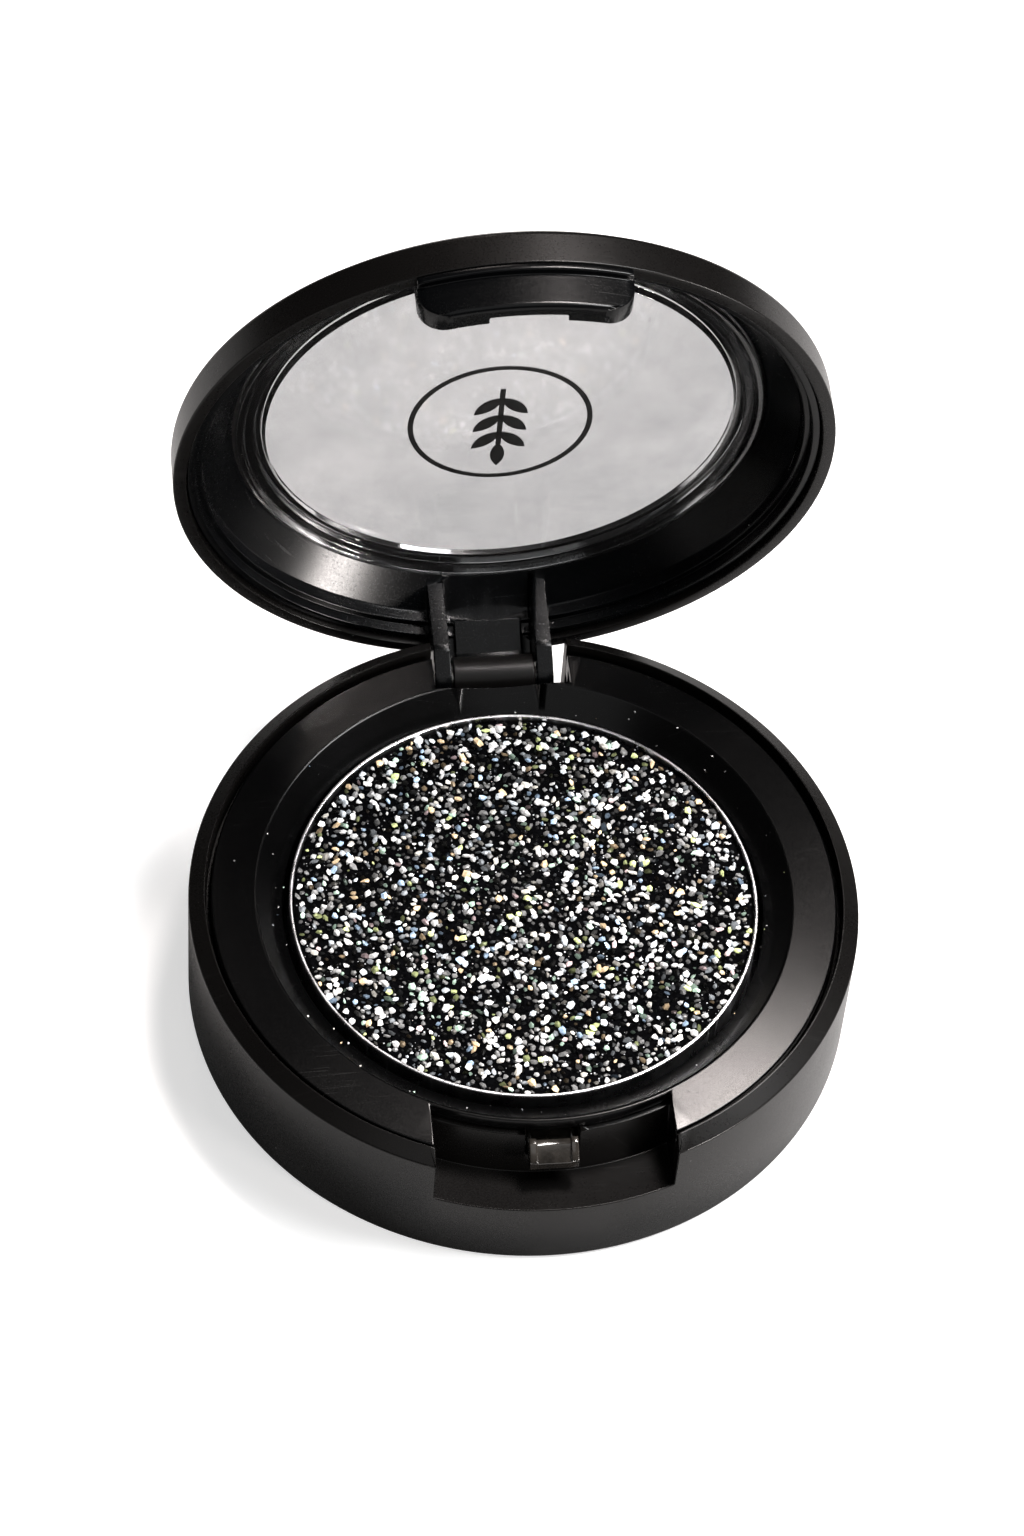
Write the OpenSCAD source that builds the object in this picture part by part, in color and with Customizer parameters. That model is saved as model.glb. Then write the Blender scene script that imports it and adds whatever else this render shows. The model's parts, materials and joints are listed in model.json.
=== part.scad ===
// Round flip-lid compact with one pan of pressed glitter eyeshadow.
// The base stands on the table; the lid turns on a steel pin at the back (+Y) and
// snaps over a catch in the thumb notch at the front (-Y).
// Every lid piece is drawn shut and then turned open about the hinge pin.

/* [Base] */
// Outer diameter of the base
base_d = 37.5; // [36:0.5:40]
// Height of the base, table to rim
base_h = 8.5; // [8.4:0.05:9.2]
// Thickness of the base's floor
floor_t = 1.3; // [1:0.1:1.5]
// Radius of the rounded rim
rim_round = 0.5; // [0.3:0.1:0.6]
// Width of the flat strip on the rim
rim_strip = 0.45; // [0.3:0.05:0.6]
// Radius of the edge that stands on the table
foot_round = 0.35; // [0.2:0.05:0.5]
// Diameter of the blank label under the base
label_d = 26; // [20:1:30]
// Thickness of the label
label_t = 0.1; // [0.08:0.01:0.15]

/* [Tray] */
// Width of the black gap between rim and tray
tray_gap = 0.3; // [0.2:0.05:0.4]
// Depth of the tray's flat ring below the rim
tray_drop = 0.2; // [0.1:0.05:0.3]
// Radius of the well where it opens in the flat ring
well_r = 15.0; // [14.8:0.1:15.1]
// Radius of the bore that holds the pan
bore_r = 13.5; // [13.4:0.05:13.7]
// Height of the bore's upper edge
bore_top = 7.0; // [6.9:0.05:7.2]

/* [Pan and shadow] */
// Outer diameter of the pan
pan_d = 26.3; // [26:0.1:26.6]
// Height of the pan
pan_h = 3.8; // [3.5:0.1:4]
// Thickness of the pan's sheet metal
pan_t = 0.3; // [0.25:0.05:0.35]
// Height of the pan's rim above the table
pan_top = 7.6; // [7.5:0.05:7.8]
// Depth of the pressed cake below the pan's rim
cake_drop = 0.25; // [0.1:0.05:0.5]
// Thickness of the adhesive disc under the pan
glue_t = 0.2; // [0.1:0.05:0.3]

/* [Thumb notch and catch] */
// Width of the thumb notch
notch_w = 13.1; // [12.6:0.1:13.4]
// Height of the notch's floor
notch_z = 4.9; // [4.8:0.05:5.2]
// Radius of the notch's inner wall at its floor
notch_r = 16.0; // [15.9:0.1:16.2]
// Radius of the tray's edge above the notch
notch_edge_r = 15.2; // [15.15:0.05:15.3]
// Width of the catch
catch_w = 2.7; // [2.4:0.1:3]
// Radius that the catch's nose reaches
catch_r = 16.75; // [16.6:0.05:16.8]

/* [Hinge] */
// Distance of the pin behind the centre
pin_y = 17.1; // [17:0.05:17.2]
// Height of the pin above the table
pin_z = 6.0; // [5.9:0.05:6.1]
// Diameter of the pin
pin_d = 1.0; // [0.8:0.1:1.1]
// Radius of the knuckle and of the lug ends
knuckle_r = 1.3; // [1.2:0.05:1.35]
// Width of the knuckle between the lid's lugs
knuckle_w = 4.7; // [4.4:0.1:4.8]
// Thickness of each lug of the lid
lug_t = 0.95; // [0.8:0.05:1.05]
// Clear width between the lid's lugs
lug_gap = 5.0; // [4.9:0.05:5.1]
// Width of the slot in the base's back wall
slot_w = 7.9; // [7.8:0.1:8.2]
// Sideways play of the slot
slot_shift = 0.3; // [0:0.05:0.4]
// Angle at which the lid stands open
open_angle = 85; // [0:1:100]

/* [Lid] */
// Outer diameter of the lid
lid_d = 37.0; // [36.8:0.1:37.4]
// Gap between the shut lid and the base's rim
lid_gap = 0.15; // [0.1:0.05:0.2]
// Height of the lid's straight side wall
lid_wall_h = 1.85; // [1.7:0.05:2]
// Thickness of the lid's side wall
lid_wall_t = 0.75; // [0.6:0.05:0.8]
// Radius between the side wall and the domed top
lid_round = 0.4; // [0.3:0.05:0.5]
// Height of the whole lid above its rim
lid_h = 4.7; // [4.6:0.05:4.8]
// Radius of the window hole
window_r = 13.4; // [13.2:0.1:13.5]
// Radius of the window's flange
flange_r = 14.85; // [14.7:0.05:14.9]
// Thickness of the window's flange
flange_t = 0.55; // [0.5:0.05:0.6]
// Thickness of the printed ink
print_t = 0.05; // [0.03:0.01:0.08]

/* [Thumb tab] */
// Width of the tab
tab_w = 11.5; // [11:0.1:11.8]
// Height of the tab's tip above the table
tab_tip_z = 6.05; // [5.9:0.05:6.2]
// Radius of the tab's outer face
tab_r = 18.1; // [18:0.05:18.2]
// Thickness of the tab
tab_t = 1.3; // [1.2:0.05:1.35]
// Width of the slot that the catch enters
tab_slot_w = 4.2; // [3.8:0.1:4.6]
// Height of the lip under the lid's rim
tab_lip = 0.45; // [0.4:0.05:0.6]
// Radius of the tab's lower corners
tab_corner = 1.8; // [1.4:0.1:2]

/* [Hidden] */
$fn = 96;
// Gap between pieces that sit against each other
slack = 0.05;
// Room around a piece that passes through another one
room = 0.1;
// How far a cutting shape runs past what it cuts
over = 1;
wall_t = 0.8;
base_r = base_d / 2;
rim_r = base_r - rim_round - rim_strip;
tray_r = rim_r - tray_gap;
shell_r = tray_r + slack;
tray_z = base_h - tray_drop;
rebate_z = tray_z - 1;
skirt_z = rebate_z - 1;
well_edge = 0.15;
tray_foot_r = 10;
pan_r = pan_d / 2;
pan_z = pan_top - pan_h;
pan_bend = 0.5;
tray_floor_z = pan_z - glue_t;
tray_base_z = tray_floor_z - 1;
notch_wall_z = tray_z - wall_t - 0.15;
notch_wall_r = notch_edge_r + 0.25;
catch_z = [5.9, 6.6, 7.3];
catch_rib = 0.4;
catch_dip = 0.15;
catch_back_r = 15.6;
catch_foot_r = bore_r + wall_t + slack;
slot_z = 2.4;
tray_cut_y = 14.75;
bore_fit = 0.02;
lug_fit = 0.05;
slot_y = 15.7;
slot_x = slot_shift - slot_w / 2;
split_z = base_h + lid_gap;
lid_r = lid_d / 2;
lid_in_r = lid_r - lid_wall_t;
lid_top = split_z + lid_h;
dome_turn = [9.3, 44.3];
dome_r = 8.85;
dome_c = [window_r - dome_r * sin(dome_turn[0]), lid_top - dome_r * cos(dome_turn[0])];
dome_t = 0.8;
dome_in_turn = [23.5, 38];
shoulder_turn = 50;
flange_z = lid_top - 0.9 - flange_t;
liner_r = lid_in_r - slack;
liner_z = split_z + 0.35;
step_r = [lid_r - 1.3, lid_r - 1.7];
step_z = [liner_z + 0.65, liner_z + 1.35];
lug_x = lug_gap / 2;
lug_front = 15.2;
lug_back = pin_y + 1.2;
lug_root = 1.1;
lug_top = liner_z + 2.7;
pin_end = lug_x + lug_t - slack;
pad_w = 3.9;
pad_z = 7.6;
pad_t = 0.8;
pad_rise = 0.2;
tab_root_z = liner_z + 0.5;
tab_step = 0.5;
tab_slot_z = catch_z[2] + 0.6;
ornament_r = 4.9;
ornament_line = 0.3;
stem_l = 6.2;
leaf_l = 2.1;
leaf_turn = 46;

// Points on an arc about c, with the angle counted from +Z towards the outside
function arc(c, r, from, to, steps) =
    [for (i = [0 : steps]) let (a = from + (to - from) * i / steps) c + r * [sin(a), cos(a)]];

module ring(profile) {
    rotate_extrude() polygon(profile);
}

module disc(r, z, t) {
    translate([0, 0, z]) cylinder(r = r, h = t);
}

// A bar along X about the hinge axis
module axle(r, from, to) {
    translate([from, pin_y, pin_z]) rotate([0, 90, 0]) cylinder(r = r, h = to - from);
}

// An outline in Y and Z, drawn out along X
module slab(outline, from, to) {
    translate([from, 0, 0]) rotate([90, 0, 90]) linear_extrude(to - from) polygon(outline);
}

// The lid's rest pose
module opened() {
    translate([0, pin_y, pin_z]) rotate([-open_angle, 0, 0]) translate([0, -pin_y, -pin_z]) children();
}

module base_cup() {
    ring(concat(
        [[0, label_t], [label_d / 2, label_t], [label_d / 2, 0]],
        arc([base_r - foot_round, foot_round], foot_round, 180, 90, 6),
        arc([base_r - rim_round, base_h - rim_round], rim_round, 90, 0, 6),
        [[rim_r, base_h], [rim_r, rebate_z], [shell_r, rebate_z], [shell_r, floor_t], [0, floor_t]]));
}

// Walls and floor of the pocket behind the thumb notch
module notch_box() {
    intersection() {
        translate([-notch_w / 2 - wall_t, -base_r, notch_z - wall_t])
            cube([notch_w + 2 * wall_t, base_r, notch_wall_z - notch_z + wall_t]);
        ring([[notch_wall_r - wall_t, notch_wall_z], [notch_r - wall_t, notch_z - wall_t],
              [base_r - room, notch_z - wall_t], [base_r - room, rebate_z], [shell_r, rebate_z],
              [shell_r, notch_wall_z]]);
    }
}

module notch_space() {
    intersection() {
        translate([-notch_w / 2, -base_r - over, notch_z]) cube([notch_w, base_r, base_h]);
        ring([[notch_r, notch_z], [notch_wall_r, notch_wall_z], [notch_wall_r, base_h + over],
              [base_r + over, base_h + over], [base_r + over, notch_z]]);
    }
}

module knuckle() {
    axle(knuckle_r, -knuckle_w / 2, knuckle_w / 2);
    translate([-knuckle_w / 2, pin_y - knuckle_r, floor_t - slack])
        cube([knuckle_w, knuckle_r + wall_t, pin_z - floor_t + slack]);
}

module base_shell() {
    color("#1b1b1c") difference() {
        union() {
            difference() {
                base_cup();
                translate([slot_x, slot_y, slot_z]) cube([slot_w, base_r, base_h]);
            }
            notch_box();
            knuckle();
        }
        notch_space();
        axle(pin_d / 2 + bore_fit, -pin_end, pin_end);
        translate([-catch_w / 2 - room, -base_r, catch_z[0] - room])
            cube([catch_w + 2 * room, base_r - bore_r, base_h]);
    }
}

module tray_insert() {
    color("#202021") difference() {
        union() {
            ring([[0, tray_floor_z], [bore_r, tray_floor_z], [bore_r, bore_top],
                  [well_r - well_edge, tray_z - well_edge], [well_r + well_edge, tray_z],
                  [tray_r, tray_z], [tray_r, skirt_z], [tray_r - wall_t, skirt_z],
                  [tray_r - wall_t, tray_z - wall_t], [well_r + well_edge, tray_z - wall_t],
                  [bore_r + wall_t, bore_top - wall_t], [bore_r + wall_t, tray_base_z],
                  [0, tray_base_z]]);
            ring([[tray_foot_r, floor_t], [tray_foot_r + wall_t, floor_t],
                  [tray_foot_r + wall_t, tray_base_z + slack], [tray_foot_r, tray_base_z + slack]]);
        }
        // thumb notch through the flat ring
        intersection() {
            translate([-notch_w / 2, -base_r, 0]) cube([notch_w, base_r, base_h]);
            ring([[notch_edge_r, 0], [base_r, 0], [base_r, base_h], [notch_edge_r, base_h]]);
        }
        // room for the notch's side walls under the flat ring
        intersection() {
            translate([-notch_w / 2 - wall_t - room, -base_r, 0])
                cube([notch_w + 2 * (wall_t + room), base_r, tray_z - wall_t]);
            ring([[catch_foot_r, 0], [base_r, 0], [base_r, base_h], [catch_foot_r, base_h]]);
        }
        // hinge slot
        translate([slot_x, tray_cut_y, 0]) cube([slot_w, base_r, base_h]);
    }
}

module pan_adhesive() {
    color("#d8d2c0") disc(pan_r - 1.5, tray_floor_z, glue_t);
}

module pan() {
    color("#c9cacc") ring(concat(
        [[0, pan_z]],
        arc([pan_r - pan_bend, pan_z + pan_bend], pan_bend, 180, 90, 4),
        arc([pan_r - pan_t / 2, pan_top - pan_t / 2], pan_t / 2, 90, -90, 6),
        [[pan_r - pan_t, pan_z + pan_t], [0, pan_z + pan_t]]));
}

module shadow_cake() {
    color("#8e8f92") disc(pan_r - pan_t, pan_z + pan_t, pan_h - pan_t - cake_drop);
}

// Side view of the catch, with its ramp lowered by a depth and a step down behind the ramp
function catch_side(dip) =
    let (step_z = (catch_z[0] + catch_z[1]) / 2)
    [[-bore_r, catch_z[0]], [-catch_r, catch_z[0]], [-catch_r, catch_z[1] - dip],
     [-notch_r, catch_z[2] - dip], [-catch_back_r, catch_z[2] - dip], [-catch_back_r, step_z],
     [-bore_r, step_z]];

// A ramp between two ribs that the tab's slot rides over, with its foot against the tray's bore
module front_catch() {
    color("#4a443e") difference() {
        union() {
            slab(catch_side(catch_dip), -catch_w / 2, catch_w / 2);
            slab(catch_side(0), -catch_w / 2, catch_rib - catch_w / 2);
            slab(catch_side(0), catch_w / 2 - catch_rib, catch_w / 2);
        }
        cylinder(r = catch_foot_r, h = base_h);
    }
}

module hinge_pin() {
    color("#b9bbbe") axle(pin_d / 2, -pin_end, pin_end);
}

module base_label() {
    color("#f2f0ea") disc(label_d / 2 - room, 0, label_t);
}

module lid_shell() {
    seat_z = flange_z + flange_t + slack;
    color("#1b1b1c") opened() ring(concat(
        [[lid_in_r, split_z], [lid_r, split_z]],
        arc([lid_r - lid_round, split_z + lid_wall_h], lid_round, 90, shoulder_turn, 3),
        arc(dome_c, dome_r, dome_turn[1] - 2, dome_turn[0], 8),
        [[window_r, seat_z], [flange_r + slack, seat_z]],
        arc(dome_c, dome_r - dome_t, dome_in_turn[0], dome_in_turn[1], 5),
        [[lid_in_r, split_z + lid_wall_h + slack]]));
}

// One lug: a plate that hangs from the liner down to the hinge pin
module lug() {
    slab([[lug_front, lug_top], [lug_front, pin_z + over], [pin_y - knuckle_r + room, pin_z - pin_d / 2],
          [pin_y + knuckle_r - room, pin_z - pin_d / 2], [lug_back, pin_z], [lug_back, split_z - slack],
          [lug_back - lug_root, split_z - slack], [lug_back - lug_root, step_z[1]]], 0, lug_t);
    axle(knuckle_r, 0, lug_t);
}

// Side view of the plate between the lugs, with its front set back by a depth
function pad_side(dip) =
    let (back = lug_back - room, front = back - pad_t + room + dip)
    [[lug_front + over + dip, lug_top - over], [front, pad_z + pad_t / 2], [front, pad_z],
     [back, pad_z], [back, lug_top - over]];

// The plate between the lugs that closes the slot above the knuckle, with a raised pad on it
module rear_pad() {
    slab(pad_side(pad_rise), -lug_x - slack, lug_x + slack);
    slab(pad_side(0), -pad_w / 2, pad_w / 2);
}

// The thumb tab: a curved plate with a lip under the lid's rim
module tab() {
    tip_w = tab_w - 2 * tab_corner;
    difference() {
        intersection() {
            ring([[tab_r - tab_t, tab_tip_z], [tab_r, tab_tip_z], [tab_r, split_z - tab_lip],
                  [lid_r, split_z - tab_lip], [lid_r, split_z - slack], [liner_r, split_z - slack],
                  [liner_r, tab_root_z], [tab_r - tab_t, tab_root_z]]);
            translate([0, -base_r, 0]) rotate([-90, 0, 0]) linear_extrude(base_r) union() {
                translate([-tab_w / 2, -tab_root_z - over])
                    square([tab_w, tab_root_z + over - tab_tip_z - tab_corner]);
                for (side = [-1, 1])
                    translate([side * tip_w / 2, -tab_tip_z - tab_corner]) circle(r = tab_corner);
                translate([-tip_w / 2, -tab_tip_z - tab_corner - room]) square([tip_w, tab_corner + room]);
            }
        }
        ring([[tab_r - tab_t - over, tab_tip_z - over], [tab_r - tab_t + tab_step, tab_tip_z - over],
              [tab_r - tab_t + tab_step, tab_slot_z], [tab_r - tab_t - over, tab_slot_z]]);
    }
    // the two thicker stretches beside the slot
    for (from = [-tip_w / 2, tab_slot_w / 2]) intersection() {
        ring([[tab_r - tab_t, tab_tip_z], [tab_r - tab_t + tab_step, tab_tip_z],
              [tab_r - tab_t + tab_step, tab_slot_z], [tab_r - tab_t, tab_slot_z]]);
        translate([from, -base_r, 0]) cube([(tip_w - tab_slot_w) / 2, base_r, base_h]);
    }
}

module lid_liner() {
    color("#19191a") opened() difference() {
        union() {
            ring(concat(
                [[liner_r, liner_z], [liner_r, split_z + 1.8]],
                arc(dome_c, dome_r - dome_t - slack, dome_in_turn[1] - 0.5, dome_in_turn[0], 5),
                [[flange_r + room + slack, flange_z + room], [step_r[1], step_z[1]],
                 [step_r[1], step_z[0]], [step_r[0], step_z[0]], [step_r[0], liner_z]]));
            intersection() {
                union() {
                    translate([lug_x, 0, 0]) lug();
                    translate([-lug_x - lug_t, 0, 0]) lug();
                    rear_pad();
                }
                union() {
                    cylinder(r = base_r - room - slack, h = split_z - slack);
                    cylinder(r = liner_r, h = lid_top);
                }
            }
            tab();
        }
        axle(pin_d / 2 + lug_fit, -base_r, base_r);
    }
}

module window() {
    color("#dfe4e6", 0.4) opened() union() {
        disc(flange_r, flange_z, flange_t);
        disc(window_r - slack, flange_z, lid_top - slack - flange_z);
    }
}

// A pointed leaf along +Y, between two arcs
module leaf() {
    bow_r = leaf_l * 0.75;
    bow_x = sqrt(bow_r * bow_r - leaf_l * leaf_l / 4);
    intersection() {
        translate([-bow_x, leaf_l / 2]) circle(r = bow_r);
        translate([bow_x, leaf_l / 2]) circle(r = bow_r);
    }
}

// Printed ornament on the window's inner face: a thin ring round a sprig of seven leaves
module window_print() {
    color("#101010") opened() translate([0, 0, flange_z - print_t]) linear_extrude(print_t) union() {
        difference() {
            circle(r = ornament_r + ornament_line);
            circle(r = ornament_r);
        }
        translate([-ornament_line / 2, -stem_l / 2]) square([ornament_line, stem_l - leaf_l / 2]);
        translate([0, stem_l / 2 - leaf_l / 2 - room]) leaf();
        for (step = [0 : 2], side = [-1, 1])
            translate([0, (step - 1.1) * leaf_l * 0.75 - leaf_l / 4]) rotate(side * leaf_turn) leaf();
    }
}

base_shell();
tray_insert();
pan_adhesive();
pan();
shadow_cake();
front_catch();
hinge_pin();
base_label();
lid_shell();
lid_liner();
window();
window_print();
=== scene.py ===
import json
import math
import random

import bmesh
import bpy
from mathutils import Matrix, Vector, noise


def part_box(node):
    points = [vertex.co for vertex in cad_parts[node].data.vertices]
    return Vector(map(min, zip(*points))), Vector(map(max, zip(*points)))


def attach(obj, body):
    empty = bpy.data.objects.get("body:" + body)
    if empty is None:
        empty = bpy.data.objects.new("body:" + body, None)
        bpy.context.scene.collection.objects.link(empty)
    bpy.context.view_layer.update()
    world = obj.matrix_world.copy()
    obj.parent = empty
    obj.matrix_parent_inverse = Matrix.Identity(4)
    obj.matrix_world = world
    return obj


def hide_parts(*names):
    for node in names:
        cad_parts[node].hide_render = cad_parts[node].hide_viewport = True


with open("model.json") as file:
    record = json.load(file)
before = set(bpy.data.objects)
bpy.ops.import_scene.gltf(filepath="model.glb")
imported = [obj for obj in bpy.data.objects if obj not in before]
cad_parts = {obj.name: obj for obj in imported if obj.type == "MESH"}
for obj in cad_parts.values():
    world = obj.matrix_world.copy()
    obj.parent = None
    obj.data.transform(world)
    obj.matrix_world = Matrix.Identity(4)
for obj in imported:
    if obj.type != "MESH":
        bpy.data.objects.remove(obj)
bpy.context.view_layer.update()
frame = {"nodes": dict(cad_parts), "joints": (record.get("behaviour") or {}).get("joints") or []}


# ---------------------------------------------------------------------------------------
# Camera: it looks down into the open compact from the front, a little from the left,
# and leans a few degrees, so that the lid seems to tip to the right.

MM = 0.001
view_turn = math.radians(9.716)
view_down = math.radians(52.644)
view_lean = math.radians(4.907)
view_aim = Vector((-0.180, 6.677, 11.000)) * MM
view_distance = 269.11 * MM

forward = Vector((math.sin(view_turn) * math.cos(view_down),
                  math.cos(view_turn) * math.cos(view_down), -math.sin(view_down)))
level = Vector((math.cos(view_turn), -math.sin(view_turn), 0))
rise = level.cross(forward)
right = level * math.cos(view_lean) + rise * math.sin(view_lean)
up = rise * math.cos(view_lean) - level * math.sin(view_lean)

camera_data = bpy.data.cameras.new("camera")
camera_data.lens = 112.22
camera_data.sensor_width = 36
camera_data.clip_start = 0.01
camera_data.clip_end = 20
camera = bpy.data.objects.new("camera", camera_data)
camera.matrix_world = Matrix.Translation(view_aim - forward * view_distance) @ Matrix(
    (right, up, -forward)).transposed().to_4x4()
bpy.context.scene.collection.objects.link(camera)
bpy.context.scene.camera = camera


# ---------------------------------------------------------------------------------------
# Studio: a white table in a dim tent under five soft lights. The one behind gleams on the flat
# ring, a small one lights the window, and three fill in from the right, above and low down.
# The table is whiter to the camera than to the compact.

def soft_light(name, place, size, power, colour=(1.0, 1.0, 1.0)):
    """A square soft light that shines at the compact."""
    lamp = bpy.data.lights.new(name, "AREA")
    lamp.size = size
    lamp.energy = power
    lamp.color = colour
    light = bpy.data.objects.new(name, lamp)
    light.location = place
    light.rotation_euler = (view_aim - Vector(place)).to_track_quat("-Z", "Y").to_euler()
    bpy.context.scene.collection.objects.link(light)


soft_light("back_softbox", (0.148, 0.164, 0.511), 0.11, 3.7, (1.0, 0.93, 0.90))
soft_light("window_softbox", (-0.022, 0.385, 0.342), 0.08, 0.18, (1.0, 0.90, 0.84))
soft_light("right_softbox", (0.32, 0.00, 0.51), 0.24, 5.2)
soft_light("overhead_softbox", (-0.10, -0.45, 0.90), 0.9, 2.4)
soft_light("low_softbox", (0.52, -0.48, 0.08), 0.14, 6.0, (1.0, 0.95, 0.92))

tent = bpy.data.worlds.new("white_tent")
tent.use_nodes = True
tent.node_tree.nodes["Background"].inputs["Color"].default_value = (1.0, 1.0, 1.0, 1.0)
tent.node_tree.nodes["Background"].inputs["Strength"].default_value = 0.03
bpy.context.scene.world = tent
bpy.context.scene.view_settings.view_transform = "Standard"
bpy.context.scene.view_settings.gamma = 0.86

table_mesh = bmesh.new()
bmesh.ops.create_grid(table_mesh, x_segments=1, y_segments=1, size=3.0)
table_data = bpy.data.meshes.new("table")
table_mesh.to_mesh(table_data)
table = bpy.data.objects.new("table", table_data)
bpy.context.scene.collection.objects.link(table)
table_paint = bpy.data.materials.new("white_table")
table_paint.use_nodes = True
table_shader = table_paint.node_tree.nodes["Principled BSDF"]
table_ray = table_paint.node_tree.nodes.new("ShaderNodeLightPath")
table_glow = table_paint.node_tree.nodes.new("ShaderNodeMath")
table_glow.operation = "MULTIPLY"
table_glow.inputs[1].default_value = 0.60
table_paint.node_tree.links.new(table_ray.outputs["Is Camera Ray"], table_glow.inputs[0])
table_paint.node_tree.links.new(table_glow.outputs[0], table_shader.inputs["Emission Strength"])
table_shader.inputs["Base Color"].default_value = (0.54, 0.54, 0.54, 1.0)
table_shader.inputs["Roughness"].default_value = 0.9
table_shader.inputs["Emission Color"].default_value = (1.0, 1.0, 1.0, 1.0)
table_shader.inputs["Specular IOR Level"].default_value = 0.1
table_data.materials.append(table_paint)


# ---------------------------------------------------------------------------------------
# Base shell: the outer cup, injection moulded in black satin plastic. Its rim slopes outwards,
# the thumb notch is let into its front with a floor that dips inwards, and the hinge slot is
# cut through its back wall.

STEPS = 192
base_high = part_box("base_shell")[1]
base_r = base_high.x / MM
base_h = base_high.z / MM
hinge = frame["joints"][0]
pin_y = hinge["pos_m"][1] / MM
pin_z = hinge["pos_m"][2] / MM
tray_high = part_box("tray_insert")[1]
tray_r = tray_high.x / MM
tray_z = tray_high.z / MM
label_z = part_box("base_label")[1].z / MM

rim_fall = 0.55
rim_r = base_r - 0.95
shell_r = tray_r + 0.05
floor_t = 1.3
rebate_z = tray_z - 1.0
wall_t = 0.8
notch_w = 13.1
notch_z = 4.9
notch_r = 16.0
notch_dip = 0.35
notch_edge_r = 15.2
ledge_r = notch_edge_r + 0.25
ledge_z = tray_z - wall_t - 0.15
slot_w = 7.9
slot_shift = 0.3
slot_z = 2.4
slot_y = 15.7
knuckle_r = 1.3
knuckle_w = 4.7
pin_r = 0.5
catch_low, catch_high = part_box("front_catch")


def rounded(corners, closed=True, steps=5):
    """The points of an outline whose corners are (across, up, radius), each turned to an arc."""
    points = []
    for i, (across, upward, radius) in enumerate(corners):
        corner = Vector((across, upward))
        if not radius:
            points.append(corner)
            continue
        before = (Vector(corners[i - 1][:2]) - corner).normalized()
        after = (Vector(corners[(i + 1) % len(corners)][:2]) - corner).normalized()
        half = before.angle(after) / 2
        centre = corner + (before + after).normalized() * radius / math.sin(half)
        start = corner + before * radius / math.tan(half) - centre
        stop = corner + after * radius / math.tan(half) - centre
        turn = math.atan2(start.x * stop.y - start.y * stop.x, start.dot(stop))
        for step in range(steps + 1):
            angle = turn * step / steps
            points.append(centre + Vector((start.x * math.cos(angle) - start.y * math.sin(angle),
                                           start.x * math.sin(angle) + start.y * math.cos(angle))))
    return points


def arc(centre, radius, first, last, steps):
    """Points on an arc, with the angle in degrees counted from straight up towards the outside."""
    angles = [math.radians(first + (last - first) * step / steps) for step in range(steps + 1)]
    return [Vector((centre[0] + radius * math.sin(a), centre[1] + radius * math.cos(a)))
            for a in angles]


def spun(outline, closed=False):
    """A mesh spun about the compact's axis. An open outline starts and ends on the axis."""
    mesh = bmesh.new()
    points = [mesh.verts.new((r * MM, 0, z * MM)) for r, z in outline]
    edges = [mesh.edges.new(pair) for pair in zip(points, points[1:])]
    if closed:
        edges.append(mesh.edges.new((points[-1], points[0])))
    bmesh.ops.spin(mesh, geom=points + edges, axis=(0, 0, 1), cent=(0, 0, 0),
                   angle=math.tau, steps=STEPS, use_merge=True)
    bmesh.ops.remove_doubles(mesh, verts=mesh.verts, dist=1e-7)
    bmesh.ops.recalc_face_normals(mesh, faces=mesh.faces)
    return mesh


def block(low, high):
    """A box between two corners."""
    mesh = bmesh.new()
    middle = Matrix.Translation([(a + b) / 2 * MM for a, b in zip(low, high)])
    size = Matrix.Diagonal([(b - a) * MM for a, b in zip(low, high)] + [1])
    bmesh.ops.create_cube(mesh, size=1, matrix=middle @ size)
    return mesh


def rod(radius, first, last, y=pin_y, z=pin_z):
    """A bar along X, which lies on the hinge's axis if nothing else is said."""
    mesh = bmesh.new()
    place = Matrix.Translation(((first + last) / 2 * MM, y * MM, z * MM))
    bmesh.ops.create_cone(mesh, cap_ends=True, segments=48, radius1=radius * MM,
                          radius2=radius * MM, depth=(last - first) * MM,
                          matrix=place @ Matrix.Rotation(math.pi / 2, 4, "Y"))
    return mesh


def plate(outline, first, last, turn=Matrix.Identity(4)):
    """An outline in Y and Z, drawn out along X from first to last and then turned."""
    mesh = bmesh.new()
    face = mesh.faces.new([mesh.verts.new((first * MM, y * MM, z * MM)) for y, z in outline])
    side = bmesh.ops.extrude_face_region(mesh, geom=[face])
    moved = [item for item in side["geom"] if isinstance(item, bmesh.types.BMVert)]
    bmesh.ops.translate(mesh, verts=moved, vec=((last - first) * MM, 0, 0))
    bmesh.ops.recalc_face_normals(mesh, faces=mesh.faces)
    bmesh.ops.transform(mesh, verts=mesh.verts, matrix=turn)
    return mesh


def shape(name, mesh):
    """A new object with that mesh, in the scene."""
    data = bpy.data.meshes.new(name)
    mesh.to_mesh(data)
    mesh.free()
    piece = bpy.data.objects.new(name, data)
    bpy.context.scene.collection.objects.link(piece)
    return piece


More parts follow.
